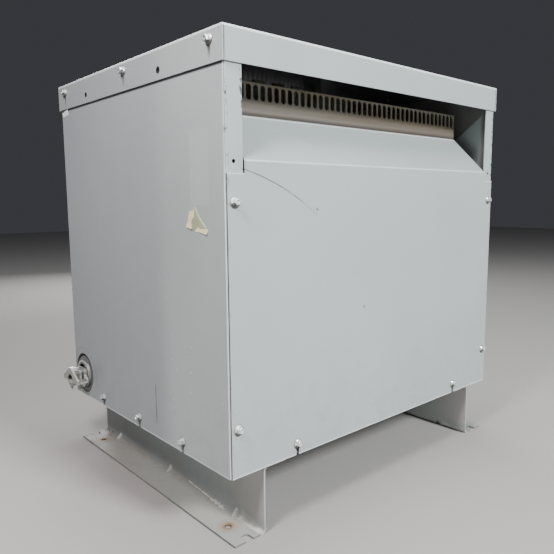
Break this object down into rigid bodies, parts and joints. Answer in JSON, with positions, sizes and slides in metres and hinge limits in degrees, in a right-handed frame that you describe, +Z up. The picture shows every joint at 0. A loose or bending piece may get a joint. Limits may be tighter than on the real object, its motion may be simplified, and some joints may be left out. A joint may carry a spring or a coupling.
{
  "type": "dry-type transformer",
  "caption": "Ventilated dry-type transformer: folded sheet enclosure with slotted vent panels and a lid on two bent feet, core and coils inside, cable connector low on the left side.",
  "frame": {"origin": "centre of the four floor bolt holes, at the underside of the feet", "axes": "+Z up; the front, with the four face screws, faces -Y; +X to the right seen from the front; the cable connector stands out towards -X"},
  "size_m": [0.6391, 0.4856, 0.641],
  "materials": {
    "grey_paint": "light grey powder coat, satin",
    "foot_paint": "grey powder coat, weathered",
    "clamp_paint": "dark primer",
    "pad_rubber": "matt rubber",
    "core_steel": "stacked steel laminations, varnished",
    "inner_winding": "varnished paper over conductor",
    "outer_winding": "varnished paper over conductor",
    "insulation": "laminated insulating board",
    "bar_metal": "dull bar",
    "zinc_plate": "zinc plated",
    "cast_zinc": "die-cast zinc alloy, dull"
  },
  "bodies": {
    "root": {"lid": "grey_paint", "left_side_panel": "grey_paint", "right_side_panel": "grey_paint", "front_panel": "grey_paint", "rear_panel": "grey_paint", "base_pan": "grey_paint", "left_foot": "foot_paint", "right_foot": "foot_paint", "support_channels": "clamp_paint", "isolation_pads": "pad_rubber", "core_bottom_yoke": "core_steel", "core_top_yoke": "core_steel", "core_leg_left": "core_steel", "core_leg_middle": "core_steel", "core_leg_right": "core_steel", "inner_winding_left": "inner_winding", "inner_winding_middle": "inner_winding", "inner_winding_right": "inner_winding", "outer_winding_left": "outer_winding", "outer_winding_middle": "outer_winding", "outer_winding_right": "outer_winding", "duct_sticks": "insulation", "coil_blocks": "insulation", "core_clamp_bottom_front": "clamp_paint", "core_clamp_bottom_rear": "clamp_paint", "core_clamp_top_front": "clamp_paint", "core_clamp_top_rear": "clamp_paint", "terminal_board": "insulation", "terminal_bar_left": "bar_metal", "terminal_bar_middle": "bar_metal", "terminal_bar_right": "bar_metal", "knockout_ring": "grey_paint", "outer_reducing_washer": "zinc_plate", "inner_reducing_washer": "zinc_plate", "connector_body": "cast_zinc", "connector_strap": "cast_zinc", "connector_locknut": "zinc_plate", "connector_screws": "zinc_plate"}
  },
  "joints": []
}
